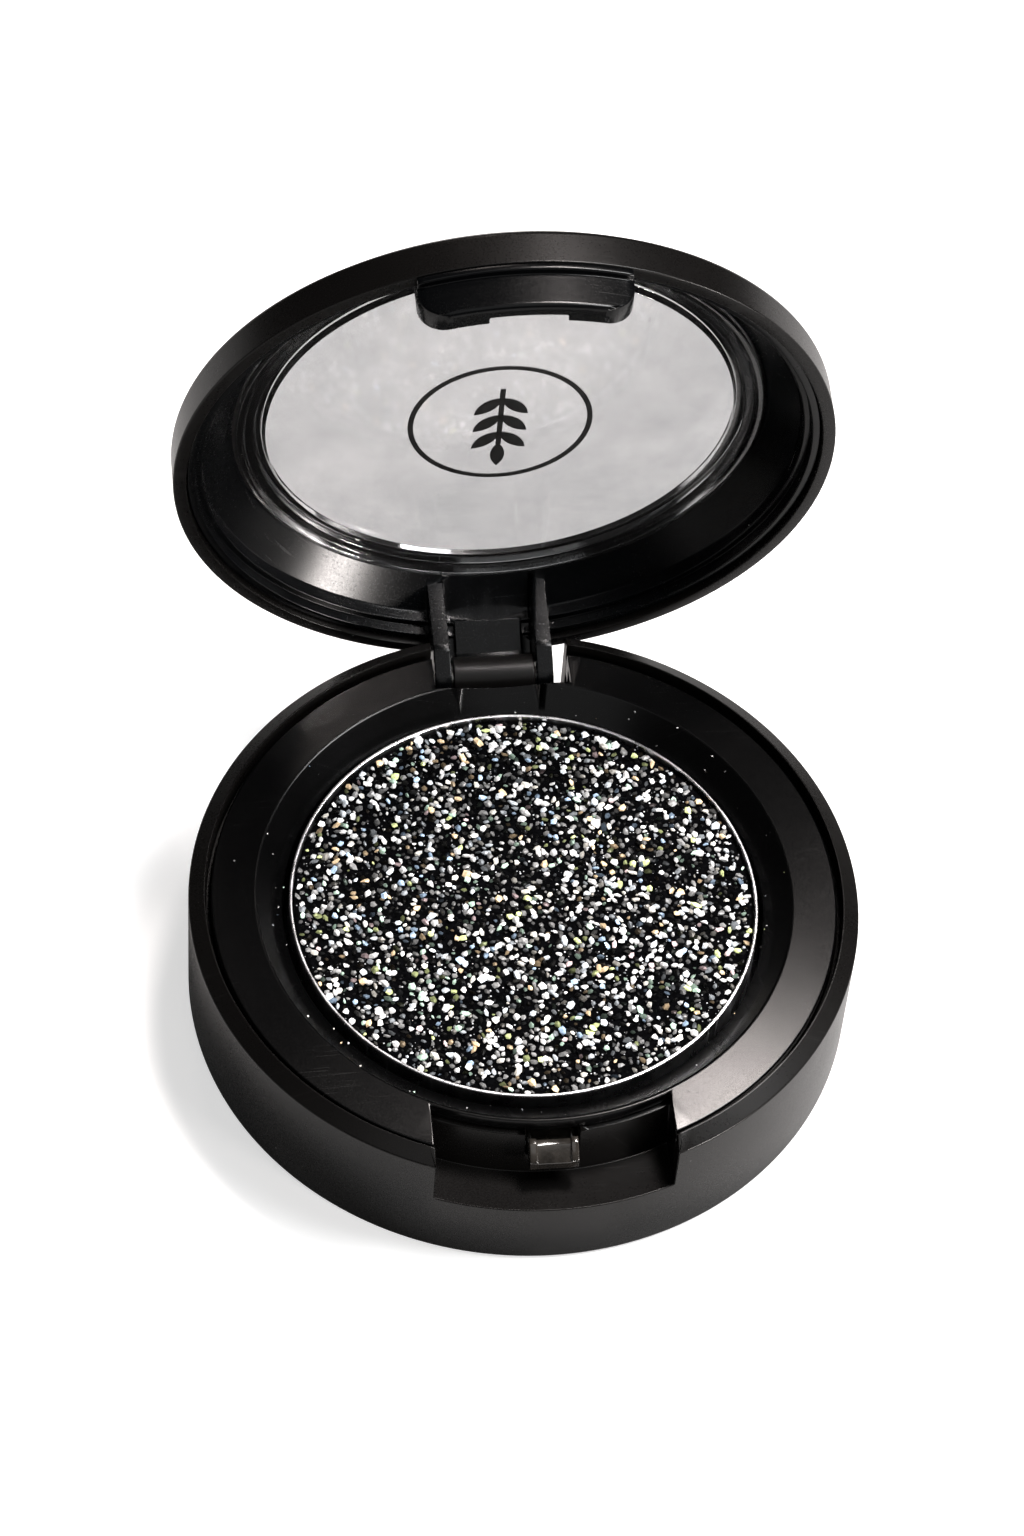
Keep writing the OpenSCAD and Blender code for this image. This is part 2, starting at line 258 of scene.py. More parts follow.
def combined(mesh, other, way):
    """Joins ("UNION"), cuts ("DIFFERENCE") or overlaps ("INTERSECT") two closed meshes.

    The cut leaves slivers along its edges. Points closer than the gap are merged, which keeps
    the mesh closed; a gap three times as wide opens the lid liner again.
    """
    gap = 0.005 * MM
    first = shape("first", mesh)
    second = shape("second", other)
    modifier = first.modifiers.new("combine", "BOOLEAN")
    modifier.operation = way
    modifier.solver = "EXACT"
    modifier.object = second
    graph = bpy.context.evaluated_depsgraph_get()
    result = bmesh.new()
    result.from_object(first, graph)
    for used in (first, second):
        data = used.data
        bpy.data.objects.remove(used)
        bpy.data.meshes.remove(data)
    bmesh.ops.remove_doubles(result, verts=result.verts, dist=gap)
    bmesh.ops.dissolve_degenerate(result, edges=result.edges, dist=gap)
    return result


def finished(name, mesh, edge=0.0, body="base", sharp=32, segments=2, divide=False):
    """The finished piece: smooth faces, edges broken by a small bevel, riding on its body.

    divide splits the many-sided faces before the bevel, so that none is filled across a hole.
    It raises small spikes on the hinge pin and the base shell, so they go without it.
    """
    if divide:
        bmesh.ops.triangulate(mesh, faces=[face for face in mesh.faces if len(face.verts) > 4])
    for face in mesh.faces:
        face.smooth = True
    piece = shape(name, mesh)
    if edge:
        bevel = piece.modifiers.new("broken_edges", "BEVEL")
        bevel.width = edge * MM
        bevel.segments = segments
        bevel.limit_method = "ANGLE"
        bevel.angle_limit = math.radians(sharp)
        bevel.use_clamp_overlap = False
        bevel.miter_outer = "MITER_ARC"
    even = piece.modifiers.new("even_shading", "WEIGHTED_NORMAL")
    even.weight = 60
    even.keep_sharp = True
    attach(piece, body)
    return piece


label_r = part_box("base_label")[1].x / MM + 0.1
cup = spun(rounded([(0, label_z, 0), (label_r, label_z, 0), (label_r, 0, 0.06), (base_r, 0, 0.35),
                    (base_r, slot_z, 0), (base_r, notch_z, 0)], closed=False, steps=8)
           + rounded([(base_r, notch_z, 0), (base_r, base_h - rim_fall, 0.15),
                      (rim_r + 0.06, base_h, 0.08),
                      (rim_r, base_h - 0.06, 0), (rim_r, rebate_z, 0), (shell_r, rebate_z, 0),
                      (shell_r, floor_t, 0), (0, floor_t, 0)], closed=False)[1:])
hinge_slot = block((slot_shift - slot_w / 2, slot_y, slot_z),
                   (slot_shift + slot_w / 2, base_r + 1, base_h + 1))
cup = combined(cup, hinge_slot, "DIFFERENCE")

pocket_side = notch_w / 2 + wall_t
pocket = spun([(ledge_r - wall_t, ledge_z), (notch_r - wall_t, notch_z - wall_t),
               (base_r - 0.1, notch_z - wall_t), (base_r - 0.1, rebate_z - 0.02),
               (shell_r - 0.02, rebate_z - 0.02), (shell_r - 0.02, ledge_z)], closed=True)
pocket = combined(pocket, block((-pocket_side, -base_r, 0), (pocket_side, 0, base_h)), "INTERSECT")
cup = combined(cup, pocket, "UNION")

hinge_foot = block((-knuckle_w / 2, pin_y - knuckle_r, floor_t - 0.1),
                   (knuckle_w / 2, pin_y + wall_t, pin_z))
hinge_foot = combined(hinge_foot, rod(knuckle_r, -knuckle_w / 2, knuckle_w / 2), "UNION")
cup = combined(cup, hinge_foot, "UNION")

thumb_notch = spun([(notch_r, notch_z - notch_dip), (ledge_r, ledge_z), (ledge_r, base_h + 1),
                    (base_r + 1, base_h + 1), (base_r + 1, notch_z), (base_r, notch_z)],
                   closed=True)
thumb_notch = combined(thumb_notch, block((-notch_w / 2, -base_r - 2, 0),
                                          (notch_w / 2, 0, base_h + 2)), "INTERSECT")
cup = combined(cup, thumb_notch, "DIFFERENCE")
cup = combined(cup, block((catch_low.x / MM - 0.1, -base_r, catch_low.z / MM - 0.1),
                          (catch_high.x / MM + 0.1, -13.5, base_h)), "DIFFERENCE")
pin_low, pin_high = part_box("hinge_pin")
cup = combined(cup, rod(pin_r + 0.02, pin_low.x / MM, pin_high.x / MM), "DIFFERENCE")
base_shell = finished("base_shell_moulding", cup, edge=0.07)
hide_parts("base_shell")


def add(tree, kind, settings=None, **inputs):
    """A node with its own settings, and its inputs as values or as sockets to link from."""
    node = tree.nodes.new(kind)
    for name, value in (settings or {}).items():
        setattr(node, name, value)
    for name, value in inputs.items():
        socket = node.inputs[name.replace("_", " ")]
        if isinstance(value, bpy.types.NodeSocket):
            tree.links.new(value, socket)
        else:
            socket.default_value = value
    return node


def worked(tree, operation, *values, clamp=False):
    """The result of a Math node."""
    node = tree.nodes.new("ShaderNodeMath")
    node.operation = operation
    node.use_clamp = clamp
    for socket, value in zip(node.inputs, values):
        if isinstance(value, bpy.types.NodeSocket):
            tree.links.new(value, socket)
        else:
            socket.default_value = value
    return node.outputs[0]


def ranged(tree, value, low, high, first=0.0, last=1.0):
    """A value stretched from the range low to high onto the range first to last."""
    node = add(tree, "ShaderNodeMapRange", From_Min=low, From_Max=high, To_Min=first, To_Max=last)
    tree.links.new(value, node.inputs["Value"])
    return node.outputs[0]


def effect(name, inputs, outputs):
    """An empty node group: its tree, its input sockets by name and its output node."""
    tree = bpy.data.node_groups.new(name, "ShaderNodeTree")
    for label, kind, value in inputs:
        socket = tree.interface.new_socket(name=label, in_out="INPUT", socket_type=kind)
        if kind == "NodeSocketFloat":
            socket.default_value = value
    for label in outputs:
        tree.interface.new_socket(name=label, in_out="OUTPUT", socket_type="NodeSocketFloat")
    start = tree.nodes.new("NodeGroupInput")
    return tree, start.outputs, tree.nodes.new("NodeGroupOutput")


# The skin of a moulding: spark-eroded grain, slow waves from the mould, patches of gloss.
skin, given, result = effect("moulded_skin", [("Vector", "NodeSocketVector", None),
                                              ("Grain", "NodeSocketFloat", 9000.0)],
                             ["Tone", "Roughness", "Height"])
grain = add(skin, "ShaderNodeTexNoise", Vector=given["Vector"], Scale=given["Grain"], Detail=2.0)
waves = add(skin, "ShaderNodeTexNoise", Vector=given["Vector"], Scale=260.0, Detail=3.0)
patches = add(skin, "ShaderNodeTexNoise", Vector=given["Vector"], Scale=90.0, Detail=4.0,
              Roughness=0.6)
skin.links.new(ranged(skin, patches.outputs[0], 0.3, 0.7, 0.88, 1.12), result.inputs["Tone"])
gloss = worked(skin, "ADD", ranged(skin, patches.outputs[0], 0.3, 0.7, -0.03, 0.03),
               ranged(skin, grain.outputs[0], 0.3, 0.7, -0.03, 0.03))
skin.links.new(gloss, result.inputs["Roughness"])
swell = worked(skin, "MULTIPLY", waves.outputs[0], 2.0)
skin.links.new(worked(skin, "ADD", grain.outputs[0], swell), result.inputs["Height"])

# Small round specks, such as dust and stray powder. Amount is the share of cells with one.
specks, given, result = effect("specks", [("Vector", "NodeSocketVector", None),
                                          ("Scale", "NodeSocketFloat", 900.0),
                                          ("Amount", "NodeSocketFloat", 0.1),
                                          ("Size", "NodeSocketFloat", 0.25)], ["Mask"])
cells = add(specks, "ShaderNodeTexVoronoi", Vector=given["Vector"], Scale=given["Scale"])
chance = add(specks, "ShaderNodeSeparateColor", Color=cells.outputs["Color"])
chosen = worked(specks, "LESS_THAN", chance.outputs[0], given["Amount"])
reach = worked(specks, "MULTIPLY", given["Size"], ranged(specks, chance.outputs[1], 0, 1, 0.4, 1.0))
depth_in = worked(specks, "SUBTRACT", reach, cells.outputs["Distance"])
inside = worked(specks, "DIVIDE", depth_in, 0.05, clamp=True)
specks.links.new(worked(specks, "MULTIPLY", chosen, inside), result.inputs["Mask"])

# Hairline scratches that run in two directions and come and go over the surface.
hairlines, given, result = effect("hairlines", [("Vector", "NodeSocketVector", None),
                                                ("Amount", "NodeSocketFloat", 0.5)], ["Mask"])
lines = []
for turn, stretch in ((0.5, (250.0, 9000.0, 250.0)), (-0.9, (180.0, 7000.0, 180.0))):
    turned = add(hairlines, "ShaderNodeMapping", Vector=given["Vector"], Rotation=(0.0, 0.0, turn),
                 Scale=stretch)
    hair = add(hairlines, "ShaderNodeTexNoise", Vector=turned.outputs[0], Scale=1.0, Detail=1.0)
    lines.append(ranged(hairlines, hair.outputs[0], 0.68, 0.76))
fade = add(hairlines, "ShaderNodeTexNoise", Vector=given["Vector"], Scale=180.0, Detail=2.0)
both = worked(hairlines, "MAXIMUM", *lines)
here = ranged(hairlines, fade.outputs[0], 0.45, 0.65)
hairlines.links.new(worked(hairlines, "MULTIPLY", worked(hairlines, "MULTIPLY", both, here),
                           given["Amount"]), result.inputs["Mask"])


def finish_of(name):
    """A new material: its tree, its Principled shader and the Object coordinates."""
    paint = bpy.data.materials.new(name)
    paint.use_nodes = True
    tree = paint.node_tree
    place = tree.nodes.new("ShaderNodeTexCoord").outputs["Object"]
    return paint, tree, tree.nodes["Principled BSDF"], place


def used(tree, group, **inputs):
    """One of the effects above, placed in a material."""
    return add(tree, "ShaderNodeGroup", {"node_tree": group}, **inputs)


def black_plastic(name, colour, roughness, grain_scale, depth, gleam, dust):
    """Black moulded plastic. depth is the height of its grain in metres, gleam its specular."""
    paint, tree, shader, place = finish_of(name)
    surface = used(tree, skin, Vector=place, Grain=grain_scale)
    lint = used(tree, specks, Vector=place, Scale=1500.0, Amount=dust, Size=0.16)
    wear = used(tree, hairlines, Vector=place, Amount=0.5)
    plain = add(tree, "ShaderNodeRGB")
    plain.outputs[0].default_value = (*colour, 1.0)
    toned = add(tree, "ShaderNodeVectorMath", {"operation": "SCALE"}, Scale=surface.outputs["Tone"])
    tree.links.new(plain.outputs[0], toned.inputs[0])
    worn = add(tree, "ShaderNodeMix", {"data_type": "RGBA"})
    tree.links.new(worked(tree, "MAXIMUM", worked(tree, "MULTIPLY", lint.outputs[0], 0.35),
                          worked(tree, "MULTIPLY", wear.outputs[0], 0.02)), worn.inputs[0])
    tree.links.new(toned.outputs[0], worn.inputs[6])
    worn.inputs[7].default_value = (0.5, 0.5, 0.5, 1.0)
    tree.links.new(worn.outputs[2], shader.inputs["Base Color"])
    rough = worked(tree, "ADD", surface.outputs["Roughness"], roughness)
    tree.links.new(worked(tree, "ADD", rough, worked(tree, "MULTIPLY", wear.outputs[0], 0.1)),
                   shader.inputs["Roughness"])
    bump = add(tree, "ShaderNodeBump", Strength=1.0, Distance=depth,
               Height=surface.outputs["Height"])
    tree.links.new(bump.outputs[0], shader.inputs["Normal"])
    shader.inputs["Specular IOR Level"].default_value = gleam
    return paint


shell_plastic = black_plastic("satin_black_plastic", (0.0040, 0.0036, 0.0034), 0.29, 9000.0,
                              0.0000007, 0.25, 0.012)
base_shell.data.materials.append(shell_plastic)


# ---------------------------------------------------------------------------------------
# Tray insert: the matt black ring that is pressed into the shell, with a stepped well that
# holds the pan. Its flat ring falls a few degrees outwards, and it is cut away over the thumb
# notch and in front of the hinge.

pan_low, pan_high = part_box("pan")
well_r = 15.0
bore_r = 13.5
bore_top = 7.0
tray_floor = pan_low.z / MM - 0.2
skirt_z = rebate_z - 1.0
slot_face_y = 14.75
catch_foot_r = bore_r + wall_t + 0.05
tray_fall = 0.21

tray = spun(rounded([(0, tray_floor, 0), (bore_r, tray_floor, 0), (bore_r, bore_top, 0.2),
                     (well_r, tray_z, 0.25), (tray_r, tray_z - tray_fall, 0.12),
                     (tray_r, skirt_z, 0),
                     (tray_r - wall_t, skirt_z, 0), (tray_r - wall_t, tray_z - wall_t, 0),
                     (well_r + 0.15, tray_z - wall_t, 0), (bore_r + wall_t, bore_top - wall_t, 0),
                     (bore_r + wall_t, tray_floor - 1, 0), (0, tray_floor - 1, 0)], steps=8))
over_notch = spun([(notch_edge_r, 0), (base_r, 0), (base_r, base_h + 1),
                   (notch_edge_r, base_h + 1)], closed=True)
over_notch = combined(over_notch, block((-notch_w / 2, -base_r - 1, -1),
                                        (notch_w / 2, 0, base_h + 2)), "INTERSECT")
tray = combined(tray, over_notch, "DIFFERENCE")
under_ring = spun([(catch_foot_r, 0), (base_r, 0), (base_r, tray_z - wall_t - 0.01),
                   (catch_foot_r, tray_z - wall_t - 0.01)], closed=True)
under_ring = combined(under_ring, block((-pocket_side - 0.1, -base_r - 1, -1),
                                        (pocket_side + 0.1, 0, base_h + 2)), "INTERSECT")
tray = combined(tray, under_ring, "DIFFERENCE")
tray = combined(tray, block((slot_shift - slot_w / 2, slot_face_y, 0),
                            (slot_shift + slot_w / 2, base_r, base_h + 1)), "DIFFERENCE")
tray_insert = finished("tray_insert_moulding", tray, edge=0.05, divide=True)
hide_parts("tray_insert")
tray_insert.data.materials.append(black_plastic(
    "matt_black_plastic", (0.0012, 0.0012, 0.0013), 0.23, 11000.0, 0.0000004, 0.24, 0.02))


# ---------------------------------------------------------------------------------------
# Pan: a shallow godet drawn from thin tinned steel, with its bright edge turned in a little.
# A disc of double-sided adhesive, which is the carried-over node below, holds it in the well.

pan_r = pan_high.x / MM
pan_top = pan_high.z / MM
pan_z = pan_low.z / MM
pan_t = 0.3
pan_rim_t = 0.2

godet = spun(rounded([(0, pan_z, 0), (pan_r, pan_z, 0.5), (pan_r, pan_top, 0.08),
                      (pan_r - pan_rim_t, pan_top, 0.06), (pan_r - pan_rim_t, pan_z + pan_t, 0.1),
                      (0, pan_z + pan_t, 0)]))
pan = finished("pan_tin", godet)
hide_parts("pan")


def bright_metal(name, colour, roughness):
    """Bright sheet or wire: metal with drawing marks and small differences in its polish."""
    paint, tree, shader, place = finish_of(name)
    marks = used(tree, hairlines, Vector=place, Amount=1.0)
    haze = add(tree, "ShaderNodeTexNoise", Vector=place, Scale=700.0, Detail=4.0)
    tint = add(tree, "ShaderNodeMix", {"data_type": "RGBA"})
    tree.links.new(ranged(tree, haze.outputs[0], 0.3, 0.7), tint.inputs[0])
    tint.inputs[6].default_value = (*[part * 0.82 for part in colour], 1.0)
    tint.inputs[7].default_value = (*colour, 1.0)
    tree.links.new(tint.outputs[2], shader.inputs["Base Color"])
    rough = worked(tree, "ADD",
                   ranged(tree, haze.outputs[0], 0.3, 0.7, roughness, roughness + 0.12),
                   worked(tree, "MULTIPLY", marks.outputs[0], 0.2))
    tree.links.new(rough, shader.inputs["Roughness"])
    bump = add(tree, "ShaderNodeBump", Strength=0.5, Distance=0.000004, Height=haze.outputs[0])
    tree.links.new(bump.outputs[0], shader.inputs["Normal"])
    shader.inputs["Metallic"].default_value = 1.0
    return paint


pan.data.materials.append(bright_metal("tinned_steel", (0.86, 0.86, 0.88), 0.22))

glue_paint, tree, shader, place = finish_of("adhesive_film")
cloud = add(tree, "ShaderNodeTexNoise", Vector=place, Scale=1200.0, Detail=5.0)
glue_tint = add(tree, "ShaderNodeMix", {"data_type": "RGBA"})
tree.links.new(ranged(tree, cloud.outputs[0], 0.3, 0.7), glue_tint.inputs[0])
glue_tint.inputs[6].default_value = (0.55, 0.50, 0.40, 1.0)
glue_tint.inputs[7].default_value = (0.75, 0.71, 0.60, 1.0)
tree.links.new(glue_tint.outputs[2], shader.inputs["Base Color"])
shader.inputs["Roughness"].default_value = 0.6
glue = frame["nodes"]["pan_adhesive"]
glue.data.materials.clear()
glue.data.materials.append(glue_paint)


# ---------------------------------------------------------------------------------------
# Shadow cake: black pressed powder packed with coarse glitter. The bed is a spun disc with an
# uneven top, and each glitter grain is a small faceted crystal half sunk in it.

cake_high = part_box("shadow_cake")[1]
cake_r = cake_high.x / MM
cake_top = cake_high.z / MM
bed_drop = 0.12
bed_ring_count = 40
grain_count = 5600
grain_gap = 0.255
dark_share = 0.26
grey_share = 0.44
smallest_grain = 0.20
largest_grain = 0.66
stray_count = 46
tints = [(1.00, 1.00, 1.00), (0.88, 0.94, 1.00), (1.00, 0.97, 0.90), (0.72, 0.95, 0.80),
         (0.60, 0.78, 1.00), (1.00, 0.78, 0.52), (1.00, 0.80, 0.82), (0.88, 0.98, 0.50)]

bed_rings = [(cake_r * (1 - step / bed_ring_count), cake_top - bed_drop)
             for step in range(bed_ring_count + 1)]
bed = spun([(0, pan_z + pan_t + 0.01), (cake_r - 0.02, pan_z + pan_t + 0.01),
            (cake_r - 0.02, cake_top - bed_drop - 0.08)] + bed_rings)
for point in bed.verts:
    if point.co.z / MM > cake_top - bed_drop - 0.01:
        point.co.z += 0.05 * MM * noise.noise(point.co / MM * 2.4)
powder_bed = finished("powder_bed", bed)
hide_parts("shadow_cake")

scatter = random.Random(7)

ball = bmesh.new()
bmesh.ops.create_icosphere(ball, subdivisions=1, radius=0.5 * MM)
ball_points = [point.co.copy() for point in ball.verts]
ball_faces = [[point.index for point in face.verts] for face in ball.faces]
ball.free()


def crystal(mesh, colours, x, y, z, size, colour):
    """One grain: a squashed icosahedron with uneven corners, tipped at random."""
    tip = (Matrix.Rotation(scatter.gauss(0, 0.30), 4, "X")
           @ Matrix.Rotation(scatter.gauss(0, 0.30), 4, "Y"))
    spread = scatter.uniform(0.74, 1.32)
    form = Matrix.Diagonal((spread * size, size / spread, scatter.uniform(0.4, 0.6) * size, 1))
    turn = Matrix.Rotation(scatter.uniform(0, math.tau), 4, "Z")
    place = Matrix.Translation((x * MM, y * MM, z * MM)) @ turn @ tip @ form
    corners = [mesh.verts.new(place @ (point * scatter.uniform(0.74, 1.24)))
               for point in ball_points]
    for corner in corners:
        corner[colours] = colour
    for face in ball_faces:
        mesh.faces.new([corners[index] for index in face])


def grain_colour_and_glint():
    """A dark, grey or bright grain, most of them silver and some with a tint. The tint is the
    grain's own colour, but its brightness is partly painted glint and shade: silver flakes are
    painted bright as if they catch the light and dark as if they face away from it.
    """
    draw = scatter.random()
    if draw < dark_share:
        light = scatter.uniform(0.001, 0.012)
    elif draw < dark_share + grey_share:
        light = scatter.uniform(0.02, 0.34)
    else:
        light = scatter.uniform(0.55, 1.0)
    tint = scatter.choices(tints, weights=(44, 13, 9, 6, 5, 6, 2, 5))[0]
    return (*[light * part for part in tint], 1.0)


class Spread:
    """Random places in a disc that keep a least distance, found through a square grid."""

    def __init__(self, radius, gap):
        self.radius = radius
        self.gap = gap
        self.cells = {}

    def place(self):
        for _ in range(60):
            away = self.radius * math.sqrt(scatter.random())
            angle = scatter.uniform(0, math.tau)
            x, y = away * math.cos(angle), away * math.sin(angle)
            column, row = int(x // self.gap), int(y // self.gap)
            near = [point for i in (-1, 0, 1) for j in (-1, 0, 1)
                    for point in self.cells.get((column + i, row + j), ())]
            if all(math.dist((x, y), point) >= self.gap for point in near):
                self.cells.setdefault((column, row), []).append((x, y))
                return x, y
        return None


glitter = bmesh.new()
# Each grain's colour is stored on its corners. The tint is its own, and its brightness is partly
# painted glint and shade.
colours = glitter.verts.layers.float_color.new("grain_colour_and_glint")
places = Spread(cake_r - 0.12, grain_gap)
for _ in range(grain_count):
    spot = places.place()
    if spot is None:
        break
    colour = grain_colour_and_glint()
    size = min(max(scatter.gauss(0.33 + 0.09 * max(colour[:3]), 0.08), smallest_grain),
               largest_grain)
    sunk = cake_top - 0.12 + 0.10 * max(colour[:3]) + scatter.uniform(-0.05, 0.05)
    crystal(glitter, colours, *spot, sunk, size, colour)
glitter_grains = shape("glitter_grains", glitter)
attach(glitter_grains, "base")

stray = bmesh.new()
colours = stray.verts.layers.float_color.new("grain_colour_and_glint")
for _ in range(stray_count):
    away = scatter.uniform(pan_r + 0.25, well_r - 0.1)
    angle = scatter.uniform(0, math.tau)
    height = bore_top + (away - bore_r) / (well_r - bore_r) * (tray_z - bore_top)
    crystal(stray, colours, away * math.cos(angle), away * math.sin(angle),
            max(height, bore_top) + 0.02, scatter.uniform(0.06, 0.16), grain_colour_and_glint())
stray_glitter = shape("stray_glitter", stray)
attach(stray_glitter, "base")

powder_paint, tree, shader, place = finish_of("black_glitter_powder")
crumbs = add(tree, "ShaderNodeTexNoise", Vector=place, Scale=5200.0, Detail=5.0, Roughness=0.65)
spark = used(tree, specks, Vector=place, Scale=5200.0, Amount=0.22, Size=0.34)
shade = add(tree, "ShaderNodeMix", {"data_type": "RGBA"})
tree.links.new(ranged(tree, crumbs.outputs[0], 0.35, 0.7), shade.inputs[0])
shade.inputs[6].default_value = (0.0002, 0.0002, 0.0003, 1.0)
shade.inputs[7].default_value = (0.004, 0.004, 0.005, 1.0)
lit = add(tree, "ShaderNodeMix", {"data_type": "RGBA"})
tree.links.new(spark.outputs[0], lit.inputs[0])
tree.links.new(shade.outputs[2], lit.inputs[6])
lit.inputs[7].default_value = (0.5, 0.51, 0.53, 1.0)
tree.links.new(lit.outputs[2], shader.inputs["Base Color"])
tree.links.new(ranged(tree, spark.outputs[0], 0, 1, 0.8, 0.35), shader.inputs["Roughness"])
bump = add(tree, "ShaderNodeBump", Strength=1.0, Distance=0.00006, Height=crumbs.outputs[0])
tree.links.new(bump.outputs[0], shader.inputs["Normal"])
shader.inputs["Specular IOR Level"].default_value = 0.02
powder_bed.data.materials.append(powder_paint)

grain_paint, tree, shader, place = finish_of("silver_glitter")
# The grain colour carries painted glint and shade: bright silver grains are painted as catching the
# light, and dark ones as facing away from it.
own = add(tree, "ShaderNodeAttribute", {"attribute_name": "grain_colour_and_glint"})
frost = add(tree, "ShaderNodeTexNoise", Vector=place, Scale=7000.0, Detail=3.0)
frosted = add(tree, "ShaderNodeVectorMath", {"operation": "SCALE"},
              Scale=ranged(tree, frost.outputs[0], 0.3, 0.7, 0.72, 1.12))
tree.links.new(own.outputs["Color"], frosted.inputs[0])
tree.links.new(frosted.outputs[0], shader.inputs["Base Color"])
tree.links.new(ranged(tree, frost.outputs[0], 0.3, 0.7, 0.22, 0.42), shader.inputs["Roughness"])
shader.inputs["Metallic"].default_value = 0.15
shader.inputs["Specular IOR Level"].default_value = 0.12
for piece in (glitter_grains, stray_glitter):
    piece.data.materials.append(grain_paint)


# ---------------------------------------------------------------------------------------
# Front catch: a small ramp between two ribs, moulded in a polished smoky plastic, that the
# slot of the thumb tab snaps over. Its foot stands against the outside of the tray's bore.

catch_rib = 0.4
catch_dip = 0.15
catch_back_r = 15.6
catch_x = catch_high.x / MM
catch_nose = -catch_low.y / MM
catch_bottom = catch_low.z / MM
catch_top = catch_high.z / MM
nose_z = catch_top - 0.7
catch_step_z = (catch_bottom + nose_z) / 2


def catch_side(dip):
    """Side view of the catch, with its ramp lowered by a depth."""
    return [(-bore_r, catch_bottom), (-catch_nose, catch_bottom), (-catch_nose, nose_z - dip),
            (-notch_r, catch_top - dip), (-catch_back_r, catch_top - dip),
            (-catch_back_r, catch_step_z), (-bore_r, catch_step_z)]


hook = combined(plate(catch_side(catch_dip), -catch_x + 0.05, catch_x - 0.05),
                plate(catch_side(0), -catch_x, catch_rib - catch_x), "UNION")
hook = combined(hook, plate(catch_side(0), catch_x - catch_rib, catch_x), "UNION")
hook = combined(hook, spun(rounded([(0, 0, 0), (catch_foot_r, 0, 0), (catch_foot_r, base_h, 0),
                                    (0, base_h, 0)])), "DIFFERENCE")
front_catch = finished("front_catch_moulding", hook, edge=0.07, divide=True)
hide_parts("front_catch")

catch_paint, tree, shader, place = finish_of("smoky_polished_plastic")
smoke = add(tree, "ShaderNodeTexNoise", Vector=place, Scale=900.0, Detail=4.0)
smoke_tint = add(tree, "ShaderNodeMix", {"data_type": "RGBA"})
tree.links.new(ranged(tree, smoke.outputs[0], 0.3, 0.7), smoke_tint.inputs[0])
smoke_tint.inputs[6].default_value = (0.010, 0.009, 0.008, 1.0)
smoke_tint.inputs[7].default_value = (0.035, 0.031, 0.027, 1.0)
tree.links.new(smoke_tint.outputs[2], shader.inputs["Base Color"])
tree.links.new(ranged(tree, smoke.outputs[0], 0.3, 0.7, 0.10, 0.22), shader.inputs["Roughness"])
catch_skin = used(tree, skin, Vector=place, Grain=6000.0)
bump = add(tree, "ShaderNodeBump", Strength=1.0, Distance=0.000003,
           Height=catch_skin.outputs["Height"])
tree.links.new(bump.outputs[0], shader.inputs["Normal"])
shader.inputs["Coat Weight"].default_value = 0.6
shader.inputs["Coat Roughness"].default_value = 0.08
front_catch.data.materials.append(catch_paint)


# ---------------------------------------------------------------------------------------
# Hinge pin: a piece of drawn steel wire, pressed into the knuckle. The lid's lugs spring over
# its ends, which are faced with a small chamfer.

wire = rod(pin_r, pin_low.x / MM, pin_high.x / MM)
hinge_pin = finished("hinge_pin_wire", wire, edge=0.08, sharp=60)
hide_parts("hinge_pin")
hinge_pin.data.materials.append(bright_metal("drawn_steel", (0.62, 0.61, 0.60), 0.28))


# ---------------------------------------------------------------------------------------
# Base label: a blank round paper label in the shallow recess of the underside. It is cut from
# coated stock, and its edge is a little soft.

paper_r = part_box("base_label")[1].x / MM
paper = spun(rounded([(0, 0.01, 0), (paper_r, 0.01, 0.02), (paper_r, label_z, 0.02),
                      (0, label_z, 0)], steps=2))
base_label = finished("base_label_paper", paper)
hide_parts("base_label")

paper_paint, tree, shader, place = finish_of("coated_paper")
fibres = add(tree, "ShaderNodeTexNoise", Vector=place, Scale=2600.0, Detail=6.0, Roughness=0.7)
paper_tint = add(tree, "ShaderNodeMix", {"data_type": "RGBA"})
tree.links.new(ranged(tree, fibres.outputs[0], 0.3, 0.7), paper_tint.inputs[0])
paper_tint.inputs[6].default_value = (0.74, 0.73, 0.70, 1.0)
paper_tint.inputs[7].default_value = (0.86, 0.85, 0.82, 1.0)
tree.links.new(paper_tint.outputs[2], shader.inputs["Base Color"])
tree.links.new(ranged(tree, fibres.outputs[0], 0.3, 0.7, 0.42, 0.58), shader.inputs["Roughness"])
bump = add(tree, "ShaderNodeBump", Strength=0.6, Distance=0.00001, Height=fibres.outputs[0])
tree.links.new(bump.outputs[0], shader.inputs["Normal"])
base_label.data.materials.append(paper_paint)


# ---------------------------------------------------------------------------------------
# Lid shell: the outer ring of the lid, in the same satin plastic as the base, with a low domed
# top round the window hole. It is drawn shut and then turned open about the hinge pin.

open_angle = math.radians(hinge["range_deg"][0])
to_pin = Matrix.Translation((0, pin_y * MM, pin_z * MM))
opened = to_pin @ Matrix.Rotation(open_angle, 4, "X") @ to_pin.inverted()
shut_points = [opened.inverted() @ point.co for point in frame["nodes"]["lid_shell"].data.vertices]
split_z = min(point.z for point in shut_points) / MM
lid_top = max(point.z for point in shut_points) / MM
lid_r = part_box("lid_shell")[1].x / MM
lid_wall_t = 0.75
lid_in_r = lid_r - lid_wall_t
shoulder_z = split_z + 1.85
shoulder_round = 0.4
window_r = 13.4
flange_r = 14.85
flange_t = 0.55
flange_z = lid_top - 0.9 - flange_t
seat_z = flange_z + flange_t + 0.05
dome_r = 8.85
dome_t = 0.8
dome_start = 9.3
dome = (window_r - dome_r * math.sin(math.radians(dome_start)),
        lid_top - dome_r * math.cos(math.radians(dome_start)))

